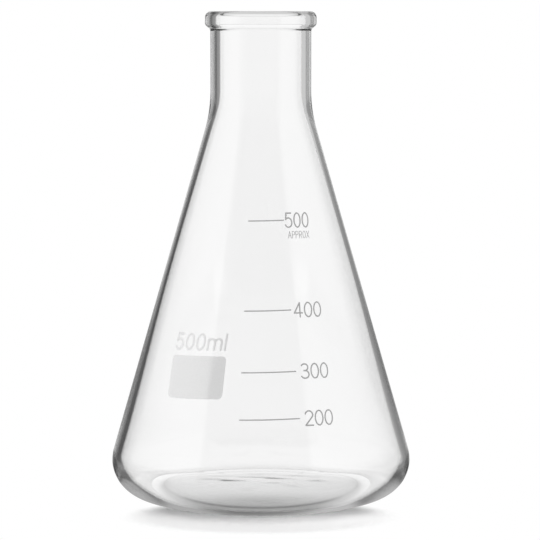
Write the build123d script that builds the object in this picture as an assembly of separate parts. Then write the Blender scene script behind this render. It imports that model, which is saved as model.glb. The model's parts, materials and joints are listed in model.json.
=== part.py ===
from build123d import *
import math
import os

# An empty 500 ml narrow-neck conical flask, blown from borosilicate glass, with fired-on enamel prints.
# Millimetres. +Z is up. The origin is the centre of the foot ring, on the surface it stands on.
# The printed scale faces the front, which is -Y. Azimuths are degrees from the front towards +X.

# The outside of the glass
HEIGHT = 170.0
BODY_DIAMETER = 105.0
NECK_DIAMETER = 35.2
NECK_LENGTH = 27.3
HEEL_RADIUS = 12.9
SHOULDER_RADIUS = 50.0
FOOT_BLEND_ANGLE = -80.0
FOOT_RING_INSET = 7.1
FOOT_RING_WIDTH = 2.0
PUNT_RISE = 1.2

# The beaded rim
RIM_DIAMETER = 38.9
RIM_HEIGHT = 6.9
RIM_LOWER_EDGE = 4.2
MOUTH_DIAMETER = 31.5
LIP_INNER_ROUND = 1.5
MOUTH_FLARE = 2.4

# The wall, which is thick in the neck, thinnest half way down the cone and thick again at the heel
NECK_WALL = 3.3
SHOULDER_WALL = 2.6
CONE_TOP_WALL = 2.1
CONE_MIDDLE_WALL = 1.75
CONE_FOOT_WALL = 2.9
HEEL_WALL = 3.1
LOW_HEEL_WALL = 2.9
FOOT_WALL = 2.5
BASE_WALL = 1.9

# The enamel prints: a scale of four marks and a white spot to write on
ENAMEL_THICKNESS = 0.2
MARK_200_HEIGHT = 34.0
MARK_300_HEIGHT = 49.35
MARK_400_HEIGHT = 69.5
MARK_500_HEIGHT = 99.25
MARK_SPAN = 25.2
MARK_AZIMUTH = 3.8
MARK_LINE_WIDTH = 0.42
MARK_TILT = 1.0
SPOT_WIDTH = 21.5
SPOT_HEIGHT = 14.8
SPOT_CORNER_RADIUS = 1.6
SPOT_AZIMUTH = -30.8
SPOT_MIDDLE_HEIGHT = 47.0
SPOT_TILT = 2.3


def outward(angle):
    """The unit vector in the profile plane (radius, height) that points angle degrees above straight outwards."""
    return Vector(math.cos(math.radians(angle)), math.sin(math.radians(angle)))


# Corners of the outer half section, as (radius, height)
body_radius = BODY_DIAMETER / 2
neck_radius = NECK_DIAMETER / 2
rim_radius = RIM_DIAMETER / 2
bore_radius = neck_radius - NECK_WALL
mouth_radius = MOUTH_DIAMETER / 2
crest_radius = mouth_radius + LIP_INNER_ROUND

neck_foot = Vector(neck_radius, HEIGHT - NECK_LENGTH)
heel_centre = Vector(body_radius - HEEL_RADIUS, HEEL_RADIUS)
shoulder_centre = neck_foot + Vector(SHOULDER_RADIUS, 0)

# The cone's side is the one straight line that touches both the heel's arc and the shoulder's arc
centre_line = shoulder_centre - heel_centre
centre_line_angle = math.degrees(math.atan2(centre_line.Y, centre_line.X))
touch_angle = math.degrees(math.acos((HEEL_RADIUS + SHOULDER_RADIUS) / centre_line.length))
cone_half_angle = centre_line_angle - touch_angle
cone_foot = heel_centre + outward(cone_half_angle) * HEEL_RADIUS
cone_top = shoulder_centre - outward(cone_half_angle) * SHOULDER_RADIUS
neck_top = Vector(neck_radius, HEIGHT - RIM_HEIGHT)
foot_outer = Vector(heel_centre.X - FOOT_RING_INSET, 0)
foot_inner = foot_outer - Vector(FOOT_RING_WIDTH, 0)


def cone_radius(height):
    """The outer radius of the straight cone at a height."""
    return cone_foot.X - (height - cone_foot.Y) * math.tan(math.radians(cone_half_angle))


def shoulder_point(depth):
    """The middle of the shoulder's arc, or of the arc that lies depth outside it."""
    return shoulder_centre - outward(cone_half_angle / 2) * (SHOULDER_RADIUS - depth)


def heel_point(angle, depth):
    """The point of the heel's arc whose normal is at angle, or of the arc that lies depth inside it."""
    return heel_centre + outward(angle) * (HEEL_RADIUS - depth)


def punt_line(wall):
    """The push-up of the base, wall above its outside: level on the axis, and level again at the foot ring."""
    return Spline((0, PUNT_RISE + wall), (foot_inner.X, wall), tangents=[(1, 0), (1, 0)])


def inside(point, angle, wall):
    """The point of the inner surface that lies a wall's thickness in from an outer point whose normal is at angle."""
    return point - outward(angle) * wall


def outer_lines():
    """The outer half section from the axis under the base up to the crest of the lip."""
    heel_low = heel_point(FOOT_BLEND_ANGLE, 0)
    rim_side = Vector(rim_radius, HEIGHT - (rim_radius - crest_radius))
    rim_low = Vector(rim_radius, HEIGHT - RIM_LOWER_EDGE)
    crest = Vector(crest_radius, HEIGHT)
    punt = punt_line(0)
    ring = Line(foot_inner, foot_outer)
    foot = Spline(foot_outer, heel_low, tangents=[(1, 0), outward(FOOT_BLEND_ANGLE + 90)])
    heel = ThreePointArc(heel_low, heel_point(-45, 0), cone_foot)
    cone = Line(cone_foot, cone_top)
    shoulder = ThreePointArc(cone_top, shoulder_point(0), neck_foot)
    neck = Line(neck_foot, neck_top)
    bead_under = Spline(neck_top, rim_low, tangents=[(0, 1), (0, 1)])
    bead_side = Line(rim_low, rim_side)
    bead_top = TangentArc(rim_side, crest, tangent=(0, 1))
    return [punt, ring, foot, heel, cone, shoulder, neck, bead_under, bead_side, bead_top]


def inner_lines():
    """The inner half section from the crest of the lip down to the axis above the base."""
    crest = Vector(crest_radius, HEIGHT)
    lip_foot = Vector(mouth_radius, HEIGHT - LIP_INNER_ROUND)
    flare_top = Vector(mouth_radius, HEIGHT - RIM_LOWER_EDGE)
    bore_top = Vector(bore_radius, HEIGHT - RIM_LOWER_EDGE - MOUTH_FLARE)
    bore_foot = Vector(bore_radius, neck_foot.Y)
    cone_middle = (cone_foot + cone_top) / 2
    wall_points = [
        bore_foot,
        inside(shoulder_point(0), cone_half_angle / 2, SHOULDER_WALL),
        inside(cone_top, cone_half_angle, CONE_TOP_WALL),
        inside(cone_middle, cone_half_angle, CONE_MIDDLE_WALL),
        inside(cone_foot, cone_half_angle, CONE_FOOT_WALL),
    ]
    down_the_cone = outward(cone_half_angle - 90)
    base_top = punt_line(BASE_WALL)
    heel_points = [
        wall_points[-1],
        heel_point(-20, HEEL_WALL),
        heel_point(-37, HEEL_WALL),
        heel_point(-55, LOW_HEEL_WALL),
        heel_point(-72, FOOT_WALL),
        base_top @ 1,
    ]
    lip = TangentArc(crest, lip_foot, tangent=(-1, 0))
    mouth = Line(lip_foot, flare_top)
    flare = Spline(flare_top, bore_top, tangents=[(0, -1), (0, -1)])
    bore = Line(bore_top, bore_foot)
    wall = Spline(*wall_points, tangents=[(0, -1), down_the_cone])
    heel = Spline(*heel_points, tangents=[down_the_cone, (-1, 0)])
    return [lip, mouth, flare, bore, wall, heel, base_top]


def revolve_section(lines):
    """A half section drawn as (radius, height) lines, stood up in the XZ plane and turned about Z."""
    section = make_face(Plane.XZ * Wire(lines))
    return revolve(section, Axis.Z, 360)


def glass_body():
    """The blown glass: one wall with a beaded rim, a narrow neck, a cone, a round heel and a punted base."""
    axis_line = Line((0, PUNT_RISE + BASE_WALL), (0, PUNT_RISE))
    return revolve_section(outer_lines() + inner_lines() + [axis_line])


def enamel_sleeve():
    """A thin sleeve on the cone and the shoulder, as thick as the enamel, from which each print is cut."""
    level = Vector(ENAMEL_THICKNESS, 0)
    sloped = outward(cone_half_angle) * ENAMEL_THICKNESS
    cone_inside = Line(cone_foot, cone_top)
    shoulder_inside = ThreePointArc(cone_top, shoulder_point(0), neck_foot)
    top = Line(neck_foot, neck_foot + level)
    shoulder_outside = ThreePointArc(neck_foot + level, shoulder_point(ENAMEL_THICKNESS), cone_top + sloped)
    cone_outside = Line(cone_top + sloped, cone_foot + sloped)
    bottom = Line(cone_foot + sloped, cone_foot)
    return revolve_section([cone_inside, shoulder_inside, top, shoulder_outside, cone_outside, bottom])


def printed_patch(sleeve, azimuth, height, outline, tilt):
    """The piece of the sleeve behind an outline, which is turned by tilt and pressed square on to the cone."""
    turn = math.radians(azimuth)
    radius = cone_radius(height)
    level = math.cos(math.radians(cone_half_angle))
    normal = (math.sin(turn) * level, -math.cos(turn) * level, math.sin(math.radians(cone_half_angle)))
    face = Plane(
        origin=(radius * math.sin(turn), -radius * math.cos(turn), height),
        x_dir=(math.cos(turn), math.sin(turn), 0),
        z_dir=normal,
    )
    stamp = extrude(face * Rot(0, 0, tilt) * outline, amount=neck_radius, both=True)
    return sleeve & stamp


def graduation(sleeve, height):
    """One mark of the scale: a line that keeps the same angle round the cone at every height."""
    length = 2 * cone_radius(height) * math.sin(math.radians(MARK_SPAN / 2))
    return printed_patch(sleeve, MARK_AZIMUTH, height, Rectangle(length, MARK_LINE_WIDTH), MARK_TILT)


def marking_spot(sleeve):
    """The white spot to write on, with round corners."""
    outline = RectangleRounded(SPOT_WIDTH, SPOT_HEIGHT, SPOT_CORNER_RADIUS)
    return printed_patch(sleeve, SPOT_AZIMUTH, SPOT_MIDDLE_HEIGHT, outline, SPOT_TILT)


sleeve = enamel_sleeve()
nodes = {"glass_body": glass_body(), "marking_spot": marking_spot(sleeve)}
nodes["graduation_200"] = graduation(sleeve, MARK_200_HEIGHT)
nodes["graduation_300"] = graduation(sleeve, MARK_300_HEIGHT)
nodes["graduation_400"] = graduation(sleeve, MARK_400_HEIGHT)
nodes["graduation_500"] = graduation(sleeve, MARK_500_HEIGHT)

os.makedirs("parts", exist_ok=True)
for name, solid in nodes.items():
    solid.label = name
    export_step(solid, f"parts/{name}.step")
    print(name, len(solid.solids()), "solid", round(solid.volume, 2), "mm3")
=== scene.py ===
# %% [markdown]
# A 500 ml conical flask of blown borosilicate glass, with a printed scale
#
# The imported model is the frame: it says where every piece is, in metres, with +Z up. Blender gives each
# piece its finish. Nearly everything seen of such a flask is the studio round it, bent by the glass, so the
# shape of the wall and what the light paths see matter more here than any texture.

# %% Load the frame
import json
import math

import bpy
import numpy as np
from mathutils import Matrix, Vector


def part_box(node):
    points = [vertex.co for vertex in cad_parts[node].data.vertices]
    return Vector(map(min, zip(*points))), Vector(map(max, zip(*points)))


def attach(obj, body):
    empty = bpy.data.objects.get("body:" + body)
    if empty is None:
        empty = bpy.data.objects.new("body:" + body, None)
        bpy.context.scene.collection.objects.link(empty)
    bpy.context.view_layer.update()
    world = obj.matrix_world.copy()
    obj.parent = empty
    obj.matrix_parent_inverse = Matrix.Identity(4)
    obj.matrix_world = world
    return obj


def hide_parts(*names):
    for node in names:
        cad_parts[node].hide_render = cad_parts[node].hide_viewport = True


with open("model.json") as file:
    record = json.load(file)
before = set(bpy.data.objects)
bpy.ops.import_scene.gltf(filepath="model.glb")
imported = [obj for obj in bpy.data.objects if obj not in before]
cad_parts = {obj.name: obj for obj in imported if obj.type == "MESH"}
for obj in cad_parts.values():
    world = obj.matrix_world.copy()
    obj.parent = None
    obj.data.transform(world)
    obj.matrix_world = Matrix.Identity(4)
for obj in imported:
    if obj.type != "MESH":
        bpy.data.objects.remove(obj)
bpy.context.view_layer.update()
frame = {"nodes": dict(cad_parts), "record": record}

MM = 0.001
print("nodes:", sorted(frame["nodes"]))

# %% [markdown]
# The camera stands where the photographer's did, level with the rim and looking down a little, far off with
# a long lens, so that the sides of the cone stay nearly straight. It comes first, because the light is
# planned from it.

# %% The camera
CAMERA_PLACE = (3.2, -900.0, 170.0)
CAMERA_DOWN = 5.74
LENS = 171.7

camera_data = bpy.data.cameras.new("camera")
camera_data.lens = LENS
camera_data.sensor_width = 36.0
camera_data.clip_start = 0.05
camera_data.clip_end = 20.0
camera = bpy.data.objects.new("camera", camera_data)
camera.location = [value * MM for value in CAMERA_PLACE]
camera.rotation_euler = (math.radians(90.0 - CAMERA_DOWN), 0.0, 0.0)
bpy.context.scene.collection.objects.link(camera)
bpy.context.scene.camera = camera
print("camera at", tuple(round(value, 4) for value in camera.location))

# %% [markdown]
# Every piece of this flask is one closed skin: the glass is a section carried round the axis, and each
# print is a flat drop of enamel. All of them can be a grid of points whose first and last rows have shrunk
# to a point and whose columns join up. So one helper turns such grids into a mesh, and turns the faces
# outwards by the sign of the volume that they enclose.

# %% A mesh from closed grids


def grid_faces(rows, columns, first):
    """Corner numbers of a closed grid: a fan at each pole, and quads between neighbouring rings."""
    column = np.arange(columns)
    after = (column + 1) % columns
    ring = first + 1 + columns * np.arange(rows - 2)[:, None]
    low_fan = np.column_stack([np.full(columns, first), ring[0] + column, ring[0] + after])
    pole = first + 1 + columns * (rows - 2)
    high_fan = np.column_stack([ring[-1] + column, np.full(columns, pole), ring[-1] + after])
    corners = [ring[:-1] + column, ring[1:] + column, ring[1:] + after, ring[:-1] + after]
    quads = np.stack(corners, axis=-1).reshape(-1, 4)
    return np.vstack([low_fan, high_fan]), quads


def enclosed_volume(points, triangles):
    """A sixth of the sum of the box products of the triangles' corners."""
    a, b, c = (points[triangles[:, k]] for k in range(3))
    return np.einsum("ij,ij->", a, np.cross(b, c)) / 6.0


def closed_piece(name, grids):
    """One mesh object from grids of points in millimetres, with rows that start and end in a single point."""
    points, triangles, quads, first = [], [], [], 0
    for grid in grids:
        rows, columns = grid.shape[:2]
        points += [grid[:1, 0], grid[1:-1].reshape(-1, 3), grid[-1:, 0]]
        fans, squares = grid_faces(rows, columns, first)
        own = np.vstack(points[-3:])
        loose = np.vstack([fans, squares[:, :3], squares[:, [0, 2, 3]]]) - first
        if enclosed_volume(own - own.mean(axis=0), loose) < 0:
            fans, squares = fans[:, ::-1], squares[:, ::-1]
        triangles.append(fans)
        quads.append(squares)
        first += len(own)
    points = np.vstack(points) * MM
    triangles, quads = np.vstack(triangles), np.vstack(quads)
    corners = np.concatenate([triangles.ravel(), quads.ravel()])
    sides = np.concatenate([np.full(len(triangles), 3), np.full(len(quads), 4)])
    mesh = bpy.data.meshes.new(name)
    mesh.vertices.add(len(points))
    mesh.vertices.foreach_set("co", points.astype(np.float32).ravel())
    mesh.loops.add(len(corners))
    mesh.loops.foreach_set("vertex_index", corners.astype(np.int32))
    mesh.polygons.add(len(sides))
    mesh.polygons.foreach_set("loop_start", (np.cumsum(sides) - sides).astype(np.int32))
    mesh.update(calc_edges=True)
    mesh.validate()
    mesh.shade_smooth()
    piece = bpy.data.objects.new(name, mesh)
    bpy.context.scene.collection.objects.link(piece)
    print(name, "has", len(triangles) + 2 * len(quads), "triangles")
    return piece


# %% [markdown]
# The glass. A glassblower's flask is a body of revolution, so its half section says everything: heel, cone,
# shoulder, neck and beaded rim outside, and a wall whose thickness changes inside. A Screw modifier could
# turn a drawn line, but the section is worked out here from the same arcs and straight lines as the solid,
# with the overall sizes read from the frame, so that the two agree.

# %% Sizes of the glass, in millimetres
low, high = (np.array(corner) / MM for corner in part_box("glass_body"))
mounts = {mount["name"]: mount for mount in frame["record"]["mounts"]}
HEIGHT = high[2]
BODY_RADIUS = (high[0] - low[0]) / 2
NECK_RADIUS = mounts["neck_grip"]["dims"]["r_mm"]
BORE_RADIUS = mounts["stopper_bore"]["dims"]["r_mm"]
NECK_LENGTH = 27.3
HEEL_RADIUS = 12.9
SHOULDER_RADIUS = 50.0
FOOT_BLEND_ANGLE = -80.0
FOOT_RING_INSET = 7.1
FOOT_RING_WIDTH = 2.0
PUNT_RISE = 1.2
RIM_RADIUS = 19.45
RIM_HEIGHT = 6.9
RIM_LOWER_EDGE = 4.2
MOUTH_RADIUS = 15.75
LIP_INNER_ROUND = 1.5
MOUTH_FLARE = 2.4
SHOULDER_WALL = 2.6
CONE_TOP_WALL = 2.1
CONE_MIDDLE_WALL = 1.75
CONE_FOOT_WALL = 2.9
HEEL_WALLS = {-20.0: 3.1, -37.0: 3.1, -55.0: 2.9, -72.0: 2.5}  # by the slope of the outside there, in degrees
BASE_WALL = 1.9
print("height", round(HEIGHT, 2), "body", round(2 * BODY_RADIUS, 2), "neck", 2 * NECK_RADIUS)

# %% Helpers that draw a half section, each point being (radius, height)


def outward(angle):
    """The unit vector that points angle degrees above straight outwards."""
    return np.array([math.cos(math.radians(angle)), math.sin(math.radians(angle))])


def arc(centre, radius, start, end, count):
    """Centre plus radius times (cosine, sine) of an angle that runs from start to end in even steps."""
    turn = np.radians(np.linspace(start, end, count))
    return centre + radius * np.column_stack([np.cos(turn), np.sin(turn)])


def spline(points, leave, arrive, count):
    """Cubic Hermite spans through the points: set end slopes, and inner slopes that keep the bend even."""
    points = np.array(points)
    span = np.linalg.norm(np.diff(points, axis=0), axis=1)
    last = len(points) - 1
    matrix = np.eye(last + 1)
    target = np.zeros((last + 1, 2))
    target[0] = leave
    target[last] = arrive
    for k in range(1, last):
        matrix[k, k - 1:k + 2] = span[k], 2 * (span[k - 1] + span[k]), span[k - 1]
        before = (points[k] - points[k - 1]) / span[k - 1]
        after = (points[k + 1] - points[k]) / span[k]
        target[k] = 3 * (span[k] * before + span[k - 1] * after)
    slope = np.linalg.solve(matrix, target)
    knots = np.concatenate([[0.0], np.cumsum(span)])
    way = np.linspace(0.0, knots[-1], count)
    part = np.clip(np.searchsorted(knots, way, side="right") - 1, 0, last - 1)
    width = span[part][:, None]
    t = (way - knots[part])[:, None] / width
    stay = (1 + 2 * t) * (1 - t) ** 2 * points[part] + t ** 2 * (3 - 2 * t) * points[part + 1]
    swing = t * (1 - t) ** 2 * slope[part] - t ** 2 * (1 - t) * slope[part + 1]
    return stay + width * swing


def join(curves):
    """The curves end to end, each without its first point, which the one before it already has."""
    return np.vstack([curves[0]] + [curve[1:] for curve in curves[1:]])


# %% The cone's side is the straight line that touches both the heel's arc and the shoulder's arc
neck_foot = np.array([NECK_RADIUS, HEIGHT - NECK_LENGTH])
heel_centre = np.array([BODY_RADIUS - HEEL_RADIUS, HEEL_RADIUS])
shoulder_centre = neck_foot + np.array([SHOULDER_RADIUS, 0.0])
centre_line = shoulder_centre - heel_centre
touch_angle = math.acos((HEEL_RADIUS + SHOULDER_RADIUS) / np.linalg.norm(centre_line))
cone_angle = math.degrees(math.atan2(centre_line[1], centre_line[0]) - touch_angle)
cone_foot = heel_centre + outward(cone_angle) * HEEL_RADIUS
cone_top = shoulder_centre - outward(cone_angle) * SHOULDER_RADIUS
crest_radius = MOUTH_RADIUS + LIP_INNER_ROUND
foot_outer = heel_centre[0] - FOOT_RING_INSET
foot_inner = foot_outer - FOOT_RING_WIDTH
print("cone leans in by", round(cone_angle, 2), "degrees")


def cone_radius(height):
    """The outer radius of the straight cone at a height."""
    return cone_foot[0] - (height - cone_foot[1]) * math.tan(math.radians(cone_angle))


# %% The half section, outside and then inside
FLOOR_ROWS = 40


def punt_line(wall, count):
    """The push-up of the base, wall above its outside: level on the axis and again at the foot ring."""
    return spline([[0.0, PUNT_RISE + wall], [foot_inner, wall]], (1, 0), (1, 0), count)


def outer_section():
    """From the axis under the base, over heel, cone, shoulder and neck, to the crest of the lip."""
    heel_low = heel_centre + outward(FOOT_BLEND_ANGLE) * HEEL_RADIUS
    bead_centre = np.array([crest_radius, HEIGHT - (RIM_RADIUS - crest_radius)])
    neck_top = np.array([NECK_RADIUS, HEIGHT - RIM_HEIGHT])
    bead_low = np.array([RIM_RADIUS, HEIGHT - RIM_LOWER_EDGE])
    return join([
        punt_line(0.0, FLOOR_ROWS),
        np.array([[foot_inner, 0.0], [foot_outer, 0.0]]),
        spline([[foot_outer, 0.0], heel_low], (1, 0), outward(FOOT_BLEND_ANGLE + 90.0), 20),
        arc(heel_centre, HEEL_RADIUS, FOOT_BLEND_ANGLE, cone_angle, 40),
        np.linspace(cone_foot, cone_top, 40),
        arc(shoulder_centre, SHOULDER_RADIUS, 180.0 + cone_angle, 180.0, 22),
        np.linspace(neck_foot, neck_top, 10),
        spline([neck_top, bead_low], (0, 1), (0, 1), 18),
        np.array([bead_low, [RIM_RADIUS, bead_centre[1]]]),
        arc(bead_centre, RIM_RADIUS - crest_radius, 0.0, 90.0, 14),
    ])


def inner_section():
    """From the crest of the lip, down the bore and the wall, to the axis above the base."""
    lip_centre = np.array([crest_radius, HEIGHT - LIP_INNER_ROUND])
    flare_top = np.array([MOUTH_RADIUS, HEIGHT - RIM_LOWER_EDGE])
    bore_top = np.array([BORE_RADIUS, HEIGHT - RIM_LOWER_EDGE - MOUTH_FLARE])
    bore_foot = np.array([BORE_RADIUS, neck_foot[1]])
    shoulder_middle = shoulder_centre - outward(cone_angle / 2) * SHOULDER_RADIUS
    wall_points = [
        bore_foot,
        shoulder_middle - outward(cone_angle / 2) * SHOULDER_WALL,
        cone_top - outward(cone_angle) * CONE_TOP_WALL,
        (cone_foot + cone_top) / 2 - outward(cone_angle) * CONE_MIDDLE_WALL,
        cone_foot - outward(cone_angle) * CONE_FOOT_WALL,
    ]
    base_top = punt_line(BASE_WALL, FLOOR_ROWS)[::-1]
    heel_points = [
        wall_points[-1],
        *(heel_centre + outward(angle) * (HEEL_RADIUS - wall) for angle, wall in HEEL_WALLS.items()),
        base_top[0],
    ]
    down_the_cone = outward(cone_angle - 90.0)
    return join([
        arc(lip_centre, LIP_INNER_ROUND, 90.0, 180.0, 8),
        np.linspace([MOUTH_RADIUS, lip_centre[1]], flare_top, 3),
        spline([flare_top, bore_top], (0, -1), (0, -1), 16),
        np.linspace(bore_top, bore_foot, 10),
        spline(wall_points, (0, -1), down_the_cone, 72),
        spline(heel_points, down_the_cone, (-1, 0), 48),
        base_top,
    ])


section = join([outer_section(), inner_section()])
print("the section has", len(section), "points")

# %% [markdown]
# The base of a blown flask is never quite even: the glass cooled with slow ripples in it, and through the
# heel they show as broken arcs of grey. They are less than a tenth of a millimetre high, and the glass
# bends light enough for them to show, so they are made in the mesh, as a few sine waves across the floor of
# the flask that fade out towards the heel.

# %% Carry the section round the axis
TURN_STEPS = 256
RIPPLES = [
    # height in mm, wavelength in mm, direction in degrees, phase in degrees
    (0.035, 13.0, 65.0, 0.0),
    (0.02, 9.0, 110.0, 80.0),
    (0.03, 17.0, 20.0, 200.0),
]


def revolved(section, steps):
    """x = r sin a, y = -r cos a, z = height, for a full turn of a in even steps."""
    turn = np.arange(steps) * (2 * np.pi / steps)
    radius = section[:, 0][:, None]
    height = np.repeat(section[:, 1][:, None], steps, axis=1)
    return np.stack([radius * np.sin(turn), -radius * np.cos(turn), height], axis=-1)


def rippled(grid, rows):
    """The last rows, the floor of the flask, moved up and down by a sum of waves that is 0 at its edge."""
    x, y, z = (grid[-rows:, :, k] for k in range(3))
    fade = np.clip(1.0 - (np.hypot(x, y) / foot_inner) ** 4, 0.0, 1.0)
    for size, wavelength, direction, phase in RIPPLES:
        way = x * math.cos(math.radians(direction)) + y * math.sin(math.radians(direction))
        z += size * fade * np.sin(2 * np.pi * way / wavelength + math.radians(phase))
    z[-1] = z[-1].mean()
    return grid


glass_grid = rippled(revolved(section, TURN_STEPS), FLOOR_ROWS)
glass = closed_piece("flask_glass", [glass_grid])

# %% [markdown]
# The glass material is a clear dielectric: all of the light that isn't reflected goes through. How strongly
# it mirrors follows from the index of refraction alone.

# %% Clear glass
BOROSILICATE_IOR = 1.473


def new_material(name):
    """A material with nodes, and its Principled shader, node tree and output."""
    material = bpy.data.materials.new(name)
    material.use_nodes = True
    tree = material.node_tree
    shader = next(node for node in tree.nodes if node.type == "BSDF_PRINCIPLED")
    output = next(node for node in tree.nodes if node.type == "OUTPUT_MATERIAL")
    return material, tree, shader, output


def clear_glass():
    """Borosilicate glass, smooth and colourless."""
    material, _, shader, _ = new_material("borosilicate_glass")
    shader.inputs["Base Color"].default_value = (1.0, 1.0, 1.0, 1.0)
    shader.inputs["Roughness"].default_value = 0.0
    shader.inputs["IOR"].default_value = BOROSILICATE_IOR
    shader.inputs["Transmission Weight"].default_value = 1.0
    return material


glass.data.materials.append(clear_glass())
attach(glass, "root")
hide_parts("glass_body")

# %% [markdown]
# The prints. Enamel is screened on to the cone and fired, and it stands a few hundredths of a millimetre
# proud with soft edges. Letters could come from a font, but a laboratory scale has round-ended strokes of
# one width, so each letter is drawn as its strokes, and each stroke is swept with a flat oval and rolled on
# to the cone.

# %% Roll flat drawings on to the cone
PRINT_GAP = 0.02
PRINT_THICKNESS = 0.07
cone_level = math.cos(math.radians(cone_angle))
cone_slope = math.sin(math.radians(cone_angle))


def on_cone(across, up, lift, azimuth, height):
    """A drawing rolled on to the cone: across runs round it, up follows the slope, lift stands off it."""
    level = height + up * cone_level
    radius = cone_radius(level) + lift * cone_level
    turn = math.radians(azimuth) + across / cone_radius(level)
    return np.stack([radius * np.sin(turn), -radius * np.cos(turn), level + lift * cone_slope], axis=-1)


def tilted(across, up, tilt):
    """The drawing turned by tilt degrees, anticlockwise as it is read."""
    c, s = math.cos(math.radians(tilt)), math.sin(math.radians(tilt))
    return across * c - up * s, across * s + up * c


# %% A stroke of enamel
CAP_ROWS = 5
RIM_COLUMNS = 12


def stroke(path, width, azimuth, height, tilt=0.0):
    """A flat oval swept along a path of (across, up) points, with ends rounded by half circles."""
    last = len(path) - 1
    along = np.gradient(path, axis=0)
    along /= np.linalg.norm(along, axis=1)[:, None]
    cap = np.radians(np.linspace(0.0, 90.0, CAP_ROWS))
    reach = np.concatenate([-np.cos(cap), np.zeros(last - 1), np.cos(cap[::-1])]) * width / 2
    swell = np.concatenate([np.sin(cap), np.ones(last - 1), np.sin(cap[::-1])])
    pick = np.concatenate([np.full(CAP_ROWS, 0), np.arange(1, last), np.full(CAP_ROWS, last)])
    middle = path[pick] + along[pick] * reach[:, None]
    side = np.column_stack([-along[pick, 1], along[pick, 0]])
    turn = np.arange(RIM_COLUMNS) * (2 * np.pi / RIM_COLUMNS)
    spread = (width / 2) * swell[:, None] * np.cos(turn)
    across = middle[:, :1] + side[:, :1] * spread
    up = middle[:, 1:] + side[:, 1:] * spread
    lift = PRINT_GAP + PRINT_THICKNESS / 2 * (1 + swell[:, None] * np.sin(turn))
    across, up = tilted(across, up, tilt)
    return on_cone(across, up, lift, azimuth, height)


# %% [markdown]
# The marks of the scale are single strokes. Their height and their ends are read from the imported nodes,
# which they replace.

# %% The four marks
MARK_WIDTH = 0.42
MARK_TILT = 1.0
SCALE_VOLUMES = (200, 300, 400, 500)


def straight(start, end, count=12):
    """Evenly spaced points from start to end."""
    return np.linspace(start, end, count)


def place_of(node):
    """The azimuths of a print's left and right ends, and the height of its middle, from the node's box."""
    low, high = (np.array(corner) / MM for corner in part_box(node))
    height = (low[2] + high[2]) / 2
    ends = np.degrees(np.arcsin(np.array([low[0], high[0]]) / cone_radius(height)))
    return ends[0], ends[1], height


marks = []
mark_ends = {}
for volume in SCALE_VOLUMES:
    node = f"graduation_{volume}"
    left, right, height = place_of(node)
    half = math.radians(right - left) / 2 * cone_radius(height) - MARK_WIDTH / 2
    line = straight((-half, 0.0), (half, 0.0), 40)
    mark = closed_piece(f"mark_{volume}", [stroke(line, MARK_WIDTH, (left + right) / 2, height, MARK_TILT)])
    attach(mark, "root")
    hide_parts(node)
    marks.append(mark)
    mark_ends[volume] = (right, height + half * math.sin(math.radians(MARK_TILT)))
print("marks end at", {volume: tuple(round(v, 1) for v in end) for volume, end in mark_ends.items()})

# %% [markdown]
# The letters. Each is a list of strokes in a box as high as a capital, with curved strokes as parts of
# ovals. The same strokes serve every word, with its own height, breadth and weight.

# %% An alphabet of strokes


def bow(centre, radii, start, end, count=28):
    """Part of an oval: centre plus (cosine, sine) of an angle from start to end, times the two radii."""
    turn = np.radians(np.linspace(start, end, count))
    return np.array(centre) + np.column_stack([np.cos(turn), np.sin(turn)]) * np.array(radii)


LETTERS = {
    # width over height, then the strokes, with across from 0 to 1 and up from 0 to 1
    "0": (0.56, [bow((0.5, 0.5), (0.5, 0.5), 90, 450, 48)]),
    "2": (0.56, [bow((0.5, 0.72), (0.48, 0.28), 165, -20), straight((0.95, 0.62), (0.02, 0.0)),
                 straight((0.02, 0.0), (1.0, 0.0))]),
    "3": (0.56, [bow((0.46, 0.76), (0.44, 0.24), 150, -80), bow((0.48, 0.27), (0.52, 0.27), 80, -150),
                 straight((0.36, 0.53), (0.56, 0.53), 6)]),
    "4": (0.60, [straight((0.70, 0.0), (0.70, 1.0)), straight((0.70, 1.0), (0.0, 0.28)),
                 straight((0.0, 0.28), (1.0, 0.28))]),
    "5": (0.56, [straight((0.90, 1.0), (0.16, 1.0)), straight((0.16, 1.0), (0.08, 0.54)),
                 bow((0.46, 0.33), (0.54, 0.33), 135, -150)]),
    "m": (0.92, [straight((0.0, 0.0), (0.0, 0.70)), bow((0.25, 0.47), (0.25, 0.23), 180, 0),
                 straight((0.5, 0.47), (0.5, 0.0)), bow((0.75, 0.47), (0.25, 0.23), 180, 0),
                 straight((1.0, 0.47), (1.0, 0.0))]),
    "l": (0.0, [straight((0.0, 0.0), (0.0, 1.0))]),
    "A": (0.46, [straight((0.0, 0.0), (0.5, 1.0)), straight((0.5, 1.0), (1.0, 0.0)),
                 straight((0.2, 0.36), (0.8, 0.36))]),
    "P": (0.40, [straight((0.0, 0.0), (0.0, 1.0)), straight((0.0, 1.0), (0.5, 1.0)),
                 bow((0.5, 0.74), (0.5, 0.26), 90, -90), straight((0.5, 0.48), (0.0, 0.48))]),
    "R": (0.42, [straight((0.0, 0.0), (0.0, 1.0)), straight((0.0, 1.0), (0.5, 1.0)),
                 bow((0.5, 0.74), (0.5, 0.26), 90, -90), straight((0.5, 0.48), (0.0, 0.48)),
                 straight((0.5, 0.48), (1.0, 0.0))]),
    "O": (0.46, [bow((0.5, 0.5), (0.5, 0.5), 90, 450, 40)]),
    "X": (0.46, [straight((0.0, 0.0), (1.0, 1.0)), straight((0.0, 1.0), (1.0, 0.0))]),
}


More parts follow.
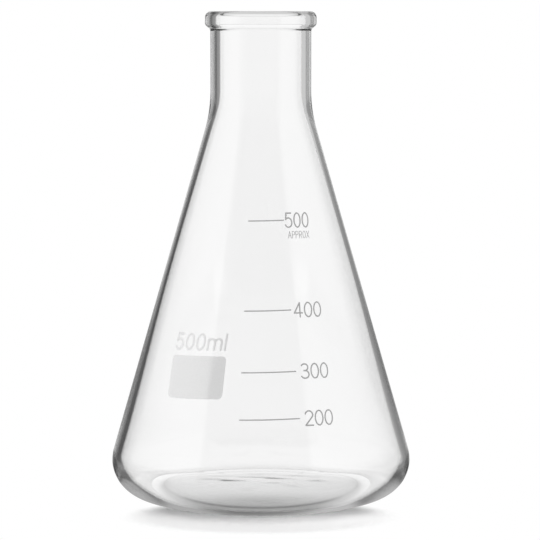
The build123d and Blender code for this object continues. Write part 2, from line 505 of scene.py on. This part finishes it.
def word(text, size, weight, spacing, azimuth, height, tilt, breadth=1.0):
    """The strokes of a word, size high over all, written from an azimuth on, with its middle at height."""
    tall = size - weight
    grids, start = [], weight / 2
    for letter in text:
        proportion, strokes = LETTERS[letter]
        wide = proportion * tall * breadth
        for path in strokes:
            flat = path * (wide, tall) + (start, -tall / 2)
            grids.append(stroke(flat, weight, azimuth, height, tilt))
        start += wide + weight + spacing
    print(text, "is", round(start - spacing - weight / 2, 2), "mm long")
    return grids


def write(name, grids):
    """A piece that is one printed word."""
    piece = closed_piece(name, grids)
    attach(piece, "root")
    return piece


# %% The numbers of the scale, the word under the top one, and the capacity over the spot
NUMBER_SIZE = 5.4
NUMBER_WEIGHT = 0.5
NUMBER_SPACING = 0.35
NUMBER_GAPS = {200: 1.60, 300: 1.5, 400: 0.8, 500: 0.20}
NUMBER_BREADTHS = {200: 1.02, 300: 1.0, 400: 0.98, 500: 0.84}
NUMBER_TILT = -1.0
APPROX_SIZE = 2.6
APPROX_WEIGHT = 0.22
APPROX_SPACING = 0.2
APPROX_BREADTH = 0.93
APPROX_AZIMUTH = 18.4
APPROX_HEIGHT = 94.35
CAPACITY_SIZE = 6.1
CAPACITY_WEIGHT = 0.82
CAPACITY_SPACING = 0.65
CAPACITY_AZIMUTH = -45.8
CAPACITY_HEIGHT = 58.1
CAPACITY_TILT = 2.3

lettering = []
for volume in SCALE_VOLUMES:
    azimuth, height = mark_ends[volume]
    azimuth += math.degrees(NUMBER_GAPS[volume] / cone_radius(height))
    number = word(str(volume), NUMBER_SIZE, NUMBER_WEIGHT, NUMBER_SPACING, azimuth, height, NUMBER_TILT,
                  NUMBER_BREADTHS[volume])
    lettering.append(write(f"number_{volume}", number))
approx = word("APPROX", APPROX_SIZE, APPROX_WEIGHT, APPROX_SPACING, APPROX_AZIMUTH, APPROX_HEIGHT,
              NUMBER_TILT, APPROX_BREADTH)
lettering.append(write("word_approx", approx))
capacity = word("500ml", CAPACITY_SIZE, CAPACITY_WEIGHT, CAPACITY_SPACING, CAPACITY_AZIMUTH, CAPACITY_HEIGHT,
                CAPACITY_TILT)
capacity_label = write("capacity_500ml", capacity)

# %% [markdown]
# The spot to write on is a thin cushion: its edge is a rectangle with round corners, and one parameter runs
# round that edge while the other runs from the middle of its face over the edge to the middle of its back.

# %% The spot to write on
SPOT_WIDTH = 21.6
SPOT_HEIGHT = 14.7
SPOT_CORNER = 1.6
SPOT_AZIMUTH = -30.8
SPOT_TILT = 2.3


def round_rectangle(width, height, corner, count):
    """Points round the outline, at even steps: four sides, each ending in a quarter circle."""
    turn = np.radians(np.linspace(0.0, 90.0, 9))
    quarter = corner * np.column_stack([np.cos(turn), np.sin(turn)])
    points = []
    for k, (x, y) in enumerate([(1, 1), (-1, 1), (-1, -1), (1, -1)]):
        centre = np.array([x * (width / 2 - corner), y * (height / 2 - corner)])
        c, s = math.cos(k * math.pi / 2), math.sin(k * math.pi / 2)
        points.append(centre + quarter @ np.array([[c, s], [-s, c]]))
    outline = np.vstack(points + [points[0][:1]])
    way = np.concatenate([[0.0], np.cumsum(np.linalg.norm(np.diff(outline, axis=0), axis=1))])
    even = np.linspace(0.0, way[-1], count, endpoint=False)
    return np.column_stack([np.interp(even, way, outline[:, k]) for k in (0, 1)])


def cushion(outline, azimuth, height, tilt):
    """The outline shrunk towards its middle, lifted by root(1 - share^16), and again flat, as the back."""
    inward = np.sin(np.radians(np.linspace(0.0, 90.0, 24)))
    shares = np.concatenate([inward, inward[-2::-1]])
    rise = np.concatenate([np.sqrt(1.0 - inward ** 16), np.zeros(len(inward) - 1)])
    across = shares[:, None] * outline[:, 0]
    up = shares[:, None] * outline[:, 1]
    lift = np.repeat(PRINT_GAP + PRINT_THICKNESS * rise[:, None], len(outline), axis=1)
    across, up = tilted(across, up, tilt)
    return on_cone(across, up, lift, azimuth, height)


spot_height = place_of("marking_spot")[2]
outline = round_rectangle(SPOT_WIDTH, SPOT_HEIGHT, SPOT_CORNER, 160)
spot = closed_piece("writing_spot", [cushion(outline, SPOT_AZIMUTH, spot_height, SPOT_TILT)])
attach(spot, "root")
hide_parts("marking_spot")
print("spot", SPOT_WIDTH, "mm wide at height", round(spot_height, 2))

# %% [markdown]
# Fired enamel is a thin glaze full of pigment. Some light comes through it, so a translucent shader is
# mixed in, and the mesh of the screen leaves it slightly uneven, which a fine noise gives. The white one is
# glossy and mirrors a good part of the studio, and the grey one of the scale is matt.

# %% Enamel
GRAIN_SCALE = 2500.0
GRAIN_SHARE = 0.06
GRAIN_DEPTH = 0.02 * MM


def enamel(name, colour, translucency, roughness, ior):
    """A glaze with fine unevenness from the screen, part of whose light comes through from behind."""
    material, tree, shader, output = new_material(name)
    nodes, links = tree.nodes, tree.links
    place = nodes.new("ShaderNodeTexCoord")
    grain = nodes.new("ShaderNodeTexNoise")
    grain.inputs["Scale"].default_value = GRAIN_SCALE
    grain.inputs["Detail"].default_value = 3.0
    links.new(place.outputs["Object"], grain.inputs["Vector"])
    tone = nodes.new("ShaderNodeMapRange")
    tone.inputs["To Min"].default_value = colour * (1.0 - GRAIN_SHARE)
    tone.inputs["To Max"].default_value = colour * (1.0 + GRAIN_SHARE)
    links.new(grain.outputs["Fac"], tone.inputs["Value"])
    links.new(tone.outputs["Result"], shader.inputs["Base Color"])
    shader.inputs["Roughness"].default_value = roughness
    shader.inputs["IOR"].default_value = ior
    bump = nodes.new("ShaderNodeBump")
    bump.inputs["Strength"].default_value = 0.15
    bump.inputs["Distance"].default_value = GRAIN_DEPTH
    links.new(grain.outputs["Fac"], bump.inputs["Height"])
    links.new(bump.outputs["Normal"], shader.inputs["Normal"])
    through = nodes.new("ShaderNodeBsdfTranslucent")
    links.new(tone.outputs["Result"], through.inputs["Color"])
    mix = nodes.new("ShaderNodeMixShader")
    mix.inputs["Fac"].default_value = translucency
    links.new(shader.outputs["BSDF"], mix.inputs[1])
    links.new(through.outputs["BSDF"], mix.inputs[2])
    links.new(mix.outputs["Shader"], output.inputs["Surface"])
    return material


white_enamel = enamel("white_enamel", 0.88, 0.25, 0.10, 2.4)
scale_enamel = enamel("scale_enamel", 0.47, 0.25, 0.4, 1.5)
for piece in [spot, capacity_label]:
    piece.data.materials.append(white_enamel)
for piece in marks + lettering:
    piece.data.materials.append(scale_enamel)

# %% [markdown]
# The floor and the studio. Glass has no look of its own: its edges are grey because there the wall bends
# the view round to the sides of the room, and its base is grey because there it shows the floor close by.
# So what the light paths find is planned. The Light Path node tells a path that only went through the glass
# from one that was mirrored on it or in it, by the transmission depth and the glossy depth, and each kind
# finds its own grey levels. The graphs are made of a few kinds of node, so small helpers join them.

# %% Helpers for graphs of nodes


def maths(tree, operation, *values):
    """One Math node, whose values are numbers or the outputs of other nodes."""
    node = tree.nodes.new("ShaderNodeMath")
    node.operation = operation
    for socket, value in zip(node.inputs, values):
        if isinstance(value, (int, float)):
            socket.default_value = value
        else:
            tree.links.new(value, socket)
    return node.outputs["Value"]


def smooth_step(tree, value, start, end, low=0.0, high=1.0):
    """Low up to start and high from end on, with a smooth S between them."""
    node = tree.nodes.new("ShaderNodeMapRange")
    node.interpolation_type = "SMOOTHSTEP"
    for name, number in [("From Min", start), ("From Max", end), ("To Min", low), ("To Max", high)]:
        node.inputs[name].default_value = number
    tree.links.new(value, node.inputs["Value"])
    return node.outputs["Result"]


def squared_sum(tree, *values):
    """The sum of the squares of the values."""
    total = maths(tree, "MULTIPLY", values[0], values[0])
    for value in values[1:]:
        total = maths(tree, "ADD", total, maths(tree, "MULTIPLY", value, value))
    return total


def bell(tree, *values):
    """A bell curve, e to the minus sum of squares: 1 where all the values are 0."""
    return maths(tree, "EXPONENT", maths(tree, "MULTIPLY", squared_sum(tree, *values), -1.0))


def mix_levels(tree, share, first, second):
    """First where share is 0 and second where share is 1, for grey levels."""
    gain = maths(tree, "SUBTRACT", second, first)
    return maths(tree, "ADD", first, maths(tree, "MULTIPLY", share, gain))


def mix_shaders(tree, share, first, second):
    """A Mix Shader: the first one where share is 0 and the second where it is 1."""
    node = tree.nodes.new("ShaderNodeMixShader")
    tree.links.new(share, node.inputs["Fac"])
    tree.links.new(first, node.inputs[1])
    tree.links.new(second, node.inputs[2])
    return node.outputs["Shader"]


def glow(tree, level):
    """An Emission node of a grey level, which is a number or another node's output."""
    node = tree.nodes.new("ShaderNodeEmission")
    if isinstance(level, float):
        node.inputs["Strength"].default_value = level
    else:
        tree.links.new(level, node.inputs["Strength"])
    return node.outputs["Emission"]


# %% [markdown]
# The floor. The camera sees a diffuse floor close to the flask, with the flask's soft shadow on it, and in
# front
# of the flask a painted pool of light: a lighter floor colour where the glass lets light down. Beyond an oval
# round that shadow it fades into the white backdrop. Through the glass the floor is white too, but has
# painted
# shade in set levels: greyer under the base, greyer still under the front of the flask, and dark in two arcs,
# painted contact shadows where the foot ring touches it and where the heel overhangs it. Mirrored in the heel
# it has a plain grey on each side, crossed by a dark oval line, a painted shadow edge.

# %% The floor, with its sizes and places in metres and its levels from 0 for black to 1 for white
FLOOR_RADIUS = 110.0 * MM
FLOOR_GAP = 0.05 * MM
FLOOR_COLOUR = 0.67
# A painted pool of light: the floor's colour is lighter in a patch in front of the flask, where the glass
# lets light down
PAINTED_LIGHT_COLOUR = 0.95
PAINTED_LIGHT_PLACE = (0.008, -0.043)
PAINTED_LIGHT_SIZE = (0.027, 0.012)
SHADOW_PLACE = (0.0, -0.042)
SHADOW_SIZE = (0.046, 0.030)
FADE = (0.80, 1.05)

# Seen through the glass: painted shade under the base and the front, and painted contact shadows in two arcs
BASE_SHADE_LEVEL = 0.74
BASE_PLACE = (0.0, -0.006)
BASE_EDGE = (0.034, 0.038)
FRONT_SHADE = 0.5
FRONT_SHADE_PLACE = (-0.001, -0.032)
FRONT_SHADE_SIZE = (0.033, 0.012)
CONTACT_RADIUS = 0.0350
CONTACT_WIDTH = 0.0011
CONTACT_SHADES = (0.12, 0.8)
CONTACT_FRONT = (-0.5, -1.0)
UNDER_HEEL_RADIUS = 0.0402
UNDER_HEEL_WIDTH = 0.0025
UNDER_HEEL_FRONT = (-0.75, -0.95)

# Mirrored in the heel: a plain grey, crossed by a dark oval line that is a painted shadow edge
PLAIN_LEVELS = (0.40, 0.50)
SHADOW_LINE_WIDTHS = (0.040, 0.090)
FAR_OUT = (0.056, 0.062)
FAR_OUT_LEVELS = (0.85, 0.17)
FAR_OUT_FRONT = (-0.018, -0.012)
SHADOW_LINE_SIZE = (0.0585, 0.036)
SHADOW_LINE_SHADE = 0.65
SHADOW_LINE_START = (0.030, 0.038)
LEFT_TO_RIGHT = (-0.010, 0.010)
FRONT_SHARE = 0.45
FRONT_EDGE = (-0.042, -0.037)
MIRRORED_EDGE = (0.070, 0.105)


def floor_grid(radius, columns=96):
    """Rings from the middle outwards, at height -FLOOR_GAP, and one row for the middle of the underside."""
    rings = np.linspace(0.0, radius, 9)
    grid = revolved(np.column_stack([rings, np.full(9, -FLOOR_GAP)]) / MM, columns)
    under = np.tile([[[0.0, 0.0, -FLOOR_GAP / MM - 1.0]]], (1, columns, 1))
    return np.concatenate([grid, under])


def offset(tree, x, y, place, size=(1.0, 1.0)):
    """How far a point is from a place, across and along, each over its own size."""
    ways = zip((x, y), place, size)
    return [maths(tree, "DIVIDE", maths(tree, "SUBTRACT", way, at), length) for way, at, length in ways]


def distance(tree, x, y, place, size=(1.0, 1.0)):
    """The distance of a point from a place, in sizes."""
    return maths(tree, "SQRT", squared_sum(tree, *offset(tree, x, y, place, size)))


def shaded(tree, level, *shade):
    """The level times 1 less the product of the shade's factors."""
    total = shade[0]
    for factor in shade[1:]:
        total = maths(tree, "MULTIPLY", total, factor)
    return maths(tree, "MULTIPLY", level, maths(tree, "SUBTRACT", 1.0, total))


def arc_on_floor(tree, radius, at, width):
    """1 on a ring round the flask, falling to 0 within about twice its width."""
    return bell(tree, maths(tree, "DIVIDE", maths(tree, "SUBTRACT", radius, at), width))


def level_through_glass(tree, x, y, radius):
    """The floor's grey level through the glass: white, with painted shade under the base and the front, and
    two arcs of painted contact shadow.
    """
    # Painted shade: set grey levels stand in for the flask's shadow under its base and front, and for contact
    # shadows at the foot ring and under the heel
    plain = smooth_step(tree, distance(tree, x, y, BASE_PLACE), *BASE_EDGE, BASE_SHADE_LEVEL, 1.0)
    front = bell(tree, *offset(tree, x, y, FRONT_SHADE_PLACE, FRONT_SHADE_SIZE))
    level = maths(tree, "SUBTRACT", plain, maths(tree, "MULTIPLY", front, FRONT_SHADE))
    frontness = maths(tree, "DIVIDE", y, radius)
    contact = arc_on_floor(tree, radius, CONTACT_RADIUS, CONTACT_WIDTH)
    level = shaded(tree, level, contact, smooth_step(tree, frontness, *CONTACT_FRONT, *CONTACT_SHADES))
    under_heel = arc_on_floor(tree, radius, UNDER_HEEL_RADIUS, UNDER_HEEL_WIDTH)
    return shaded(tree, level, under_heel, smooth_step(tree, frontness, *UNDER_HEEL_FRONT))


def side_in_mirror(tree, outwards, y, plain, line_width):
    """One side of the mirrored floor: a plain level, another far out, and a dark oval line, a painted shadow
    edge, over both.
    """
    # The dark oval line is painted shadow: the edge of the flask's shadow on the mirrored floor
    off_line = maths(tree, "SUBTRACT", distance(tree, outwards, y, (0.0, 0.0), SHADOW_LINE_SIZE), 1.0)
    line = bell(tree, maths(tree, "DIVIDE", off_line, line_width))
    far_level = smooth_step(tree, y, *FAR_OUT_FRONT, *FAR_OUT_LEVELS)
    level = mix_levels(tree, smooth_step(tree, outwards, *FAR_OUT), plain, far_level)
    return shaded(tree, level, line, smooth_step(tree, outwards, *SHADOW_LINE_START, 0.0, SHADOW_LINE_SHADE))


def level_in_mirror(tree, x, y):
    """The floor's grey level mirrored in the heel, drawn once for the left and once for the right."""
    left = side_in_mirror(tree, maths(tree, "MULTIPLY", x, -1.0), y, PLAIN_LEVELS[0], SHADOW_LINE_WIDTHS[0])
    right = side_in_mirror(tree, x, y, PLAIN_LEVELS[1], SHADOW_LINE_WIDTHS[1])
    level = mix_levels(tree, smooth_step(tree, x, *LEFT_TO_RIGHT), left, right)
    return maths(tree, "MULTIPLY", level, smooth_step(tree, y, *FRONT_EDGE, FRONT_SHARE, 1.0))


def pale_floor():
    """Diffuse near the flask, with a painted pool of light in its colour, and white further off; painted
    shade in set levels through the glass and mirrored in it.
    """
    material, tree, shader, output = new_material("pale_floor")
    nodes, links = tree.nodes, tree.links
    nodes.remove(shader)
    place = nodes.new("ShaderNodeTexCoord")
    split = nodes.new("ShaderNodeSeparateXYZ")
    links.new(place.outputs["Object"], split.inputs["Vector"])
    x, y = split.outputs["X"], split.outputs["Y"]
    radius = maths(tree, "SQRT", squared_sum(tree, x, y))
    path = nodes.new("ShaderNodeLightPath")
    matt = nodes.new("ShaderNodeBsdfDiffuse")
    # Painted light: the colour rises to the lighter one in a patch in front of the flask
    near = bell(tree, *offset(tree, x, y, PAINTED_LIGHT_PLACE, PAINTED_LIGHT_SIZE))
    links.new(mix_levels(tree, near, FLOOR_COLOUR, PAINTED_LIGHT_COLOUR), matt.inputs["Color"])
    seen = maths(tree, "MAXIMUM", path.outputs["Is Camera Ray"], path.outputs["Is Transmission Ray"])
    outside = smooth_step(tree, distance(tree, x, y, SHADOW_PLACE, SHADOW_SIZE), *FADE)
    white = glow(tree, 1.0)
    plain = mix_shaders(tree, maths(tree, "MULTIPLY", seen, outside), matt.outputs["BSDF"], white)
    through = maths(tree, "GREATER_THAN", path.outputs["Transmission Depth"], 0.5)
    seen_through = mix_shaders(tree, through, plain, glow(tree, level_through_glass(tree, x, y, radius)))
    clear = nodes.new("ShaderNodeBsdfTransparent")
    edge = smooth_step(tree, radius, *MIRRORED_EDGE)
    in_mirror = mix_shaders(tree, edge, glow(tree, level_in_mirror(tree, x, y)), clear.outputs["BSDF"])
    mirrored = maths(tree, "GREATER_THAN", path.outputs["Glossy Depth"], 0.5)
    links.new(mix_shaders(tree, mirrored, seen_through, in_mirror), output.inputs["Surface"])
    return material


floor = closed_piece("floor", [floor_grid(FLOOR_RADIUS)])
floor.data.shade_flat()
floor.data.materials.append(pale_floor())
print("floor", round(2 * FLOOR_RADIUS / MM), "mm across")

# %% [markdown]
# The studio. Straight through the glass the world is white, and a little greyer below. Mirrored paths see a
# ring of grey screens round the flask and over them an even bright ceiling. The ring is drawn four times,
# for the left and the right, and for mirrors inside the wall and on the outer face. The floor and the
# prints are lit by a large soft light, high up behind the flask, so that the flask's shadow falls to the
# front.

# %% The world, with its levels from 0 for black to 1 for white, and directions as parts of a unit vector
# Each screen: degrees round from straight behind the flask, and the level there
INNER_LEFT_SCREENS = [
    (0, 1.0), (6, 0.95), (10, 0.60), (17, 0.38), (22, 0.25), (27, 0.06), (32, 0.02), (36, 0.04), (42, 0.2),
    (53, 0.3), (60, 0.55), (129, 0.50), (132, 0.02), (180, 0.02),
]
INNER_RIGHT_SCREENS = [
    (0, 1.0), (5, 0.9), (10, 0.48), (14, 0.29), (31, 0.27), (36, 0.58), (60, 0.60), (137, 0.60), (140, 0.02),
    (180, 0.02),
]
OUTER_LEFT_SCREENS = [
    (0, 1.0), (6, 0.95), (10, 0.60), (17, 0.38), (22, 0.25), (27, 0.08), (32, 0.10), (40, 0.45), (50, 0.90),
    (110, 1.0), (129, 0.80), (132, 0.02), (180, 0.02),
]
OUTER_RIGHT_SCREENS = [
    (0, 1.0), (6, 0.95), (10, 0.60), (17, 0.38), (22, 0.25), (27, 0.20), (32, 0.30), (40, 0.60), (50, 0.80),
    (80, 0.90), (137, 0.65), (140, 0.02), (180, 0.02),
]
SCREEN_STRETCH = 0.25
SIDE_BLEND = (-0.5, 0.5)
CAMERA_SIDE_LEVEL = 0.30
CAMERA_SIDE = (0.72, 0.76)  # angles from straight behind, as parts of half a turn
CAMERA_HEIGHT = (0.35, 0.15)
CEILING_LEVEL = 0.8
CEILING_EDGE = (0.45, 0.85)
LOW_SCREEN_SHARE = 0.7
LOW_SCREENS = (-0.75, -0.25)
BACKDROP_LOW_LEVEL = 0.65
BACKDROP_EDGE = (-0.20, -0.40)
EVEN_LEVEL = 1.0
SOFT_LIGHT_LEVEL = 1.6
SOFT_LIGHT_UP = 50.0
SOFT_LIGHT_EDGE = (0.3, 1.0)


def screens(tree, angle, stops):
    """A Color Ramp over the angle from straight behind, 0 to 1 for 0 to 180 degrees."""
    ramp = tree.nodes.new("ShaderNodeValToRGB")
    while len(ramp.color_ramp.elements) < len(stops):
        ramp.color_ramp.elements.new(0.5)
    for element, (degrees, level) in zip(ramp.color_ramp.elements, stops):
        element.position = degrees / 180
        element.color = (level, level, level, 1.0)
    tree.links.new(angle, ramp.inputs["Fac"])
    return ramp.outputs["Color"]


def ring_level(tree, angle, side, inside):
    """The ring's level: ramps for the left and the right, each for the outer face and for inside the wall."""
    left = mix_levels(tree, inside, screens(tree, angle, OUTER_LEFT_SCREENS),
                      screens(tree, angle, INNER_LEFT_SCREENS))
    right = mix_levels(tree, inside, screens(tree, angle, OUTER_RIGHT_SCREENS),
                       screens(tree, angle, INNER_RIGHT_SCREENS))
    return mix_levels(tree, side, left, right)


def mirrored_level(tree, x, y, z, inside):
    """The ring by the angle from straight behind, in which height counts little, and the ceiling over it."""
    low_z = maths(tree, "MULTIPLY", z, SCREEN_STRETCH)
    length = maths(tree, "SQRT", squared_sum(tree, x, y, low_z))
    angle = maths(tree, "DIVIDE", maths(tree, "ARCCOSINE", maths(tree, "DIVIDE", y, length)), math.pi)
    off_axis = maths(tree, "SQRT", maths(tree, "ADD", squared_sum(tree, x, z), 1e-6))
    side = smooth_step(tree, maths(tree, "DIVIDE", x, off_axis), *SIDE_BLEND)
    ring = ring_level(tree, angle, side, inside)
    beside = smooth_step(tree, angle, *CAMERA_SIDE)
    level_with_camera = maths(tree, "MULTIPLY", beside, smooth_step(tree, z, *CAMERA_HEIGHT))
    ring = mix_levels(tree, level_with_camera, ring, CAMERA_SIDE_LEVEL)
    covered = mix_levels(tree, smooth_step(tree, z, *CEILING_EDGE), ring, CEILING_LEVEL)
    return maths(tree, "MULTIPLY", covered, smooth_step(tree, z, *LOW_SCREENS, LOW_SCREEN_SHARE, 1.0))


def studio_world():
    """The backdrop to plain paths, the screens to mirrored ones, and the soft light to matt surfaces."""
    world = bpy.data.worlds.new("studio")
    world.use_nodes = True
    tree = world.node_tree
    background = next(node for node in tree.nodes if node.type == "BACKGROUND")
    place = tree.nodes.new("ShaderNodeTexCoord")
    split = tree.nodes.new("ShaderNodeSeparateXYZ")
    tree.links.new(place.outputs["Generated"], split.inputs["Vector"])
    x, y, z = (split.outputs[name] for name in "XYZ")
    path = tree.nodes.new("ShaderNodeLightPath")
    mirrored = maths(tree, "GREATER_THAN", path.outputs["Glossy Depth"], 0.5)
    inside = maths(tree, "GREATER_THAN", path.outputs["Transmission Depth"], 0.5)
    low = smooth_step(tree, z, *BACKDROP_EDGE, 0.0, 1.0 - BACKDROP_LOW_LEVEL)
    backdrop = maths(tree, "SUBTRACT", 1.0, maths(tree, "MULTIPLY", inside, low))
    seen = mix_levels(tree, mirrored, backdrop, mirrored_level(tree, x, y, z, inside))
    rise = math.radians(SOFT_LIGHT_UP)
    across = maths(tree, "MULTIPLY", y, math.cos(rise))
    toward = maths(tree, "ADD", across, maths(tree, "MULTIPLY", z, math.sin(rise)))
    soft = smooth_step(tree, toward, *SOFT_LIGHT_EDGE, EVEN_LEVEL, EVEN_LEVEL + SOFT_LIGHT_LEVEL)
    lit = maths(tree, "GREATER_THAN", path.outputs["Diffuse Depth"], 0.5)
    tree.links.new(mix_levels(tree, lit, seen, soft), background.inputs["Color"])
    return world


bpy.context.scene.world = studio_world()
bpy.context.scene.view_settings.view_transform = "Standard"
print("world:", bpy.context.scene.world.name)
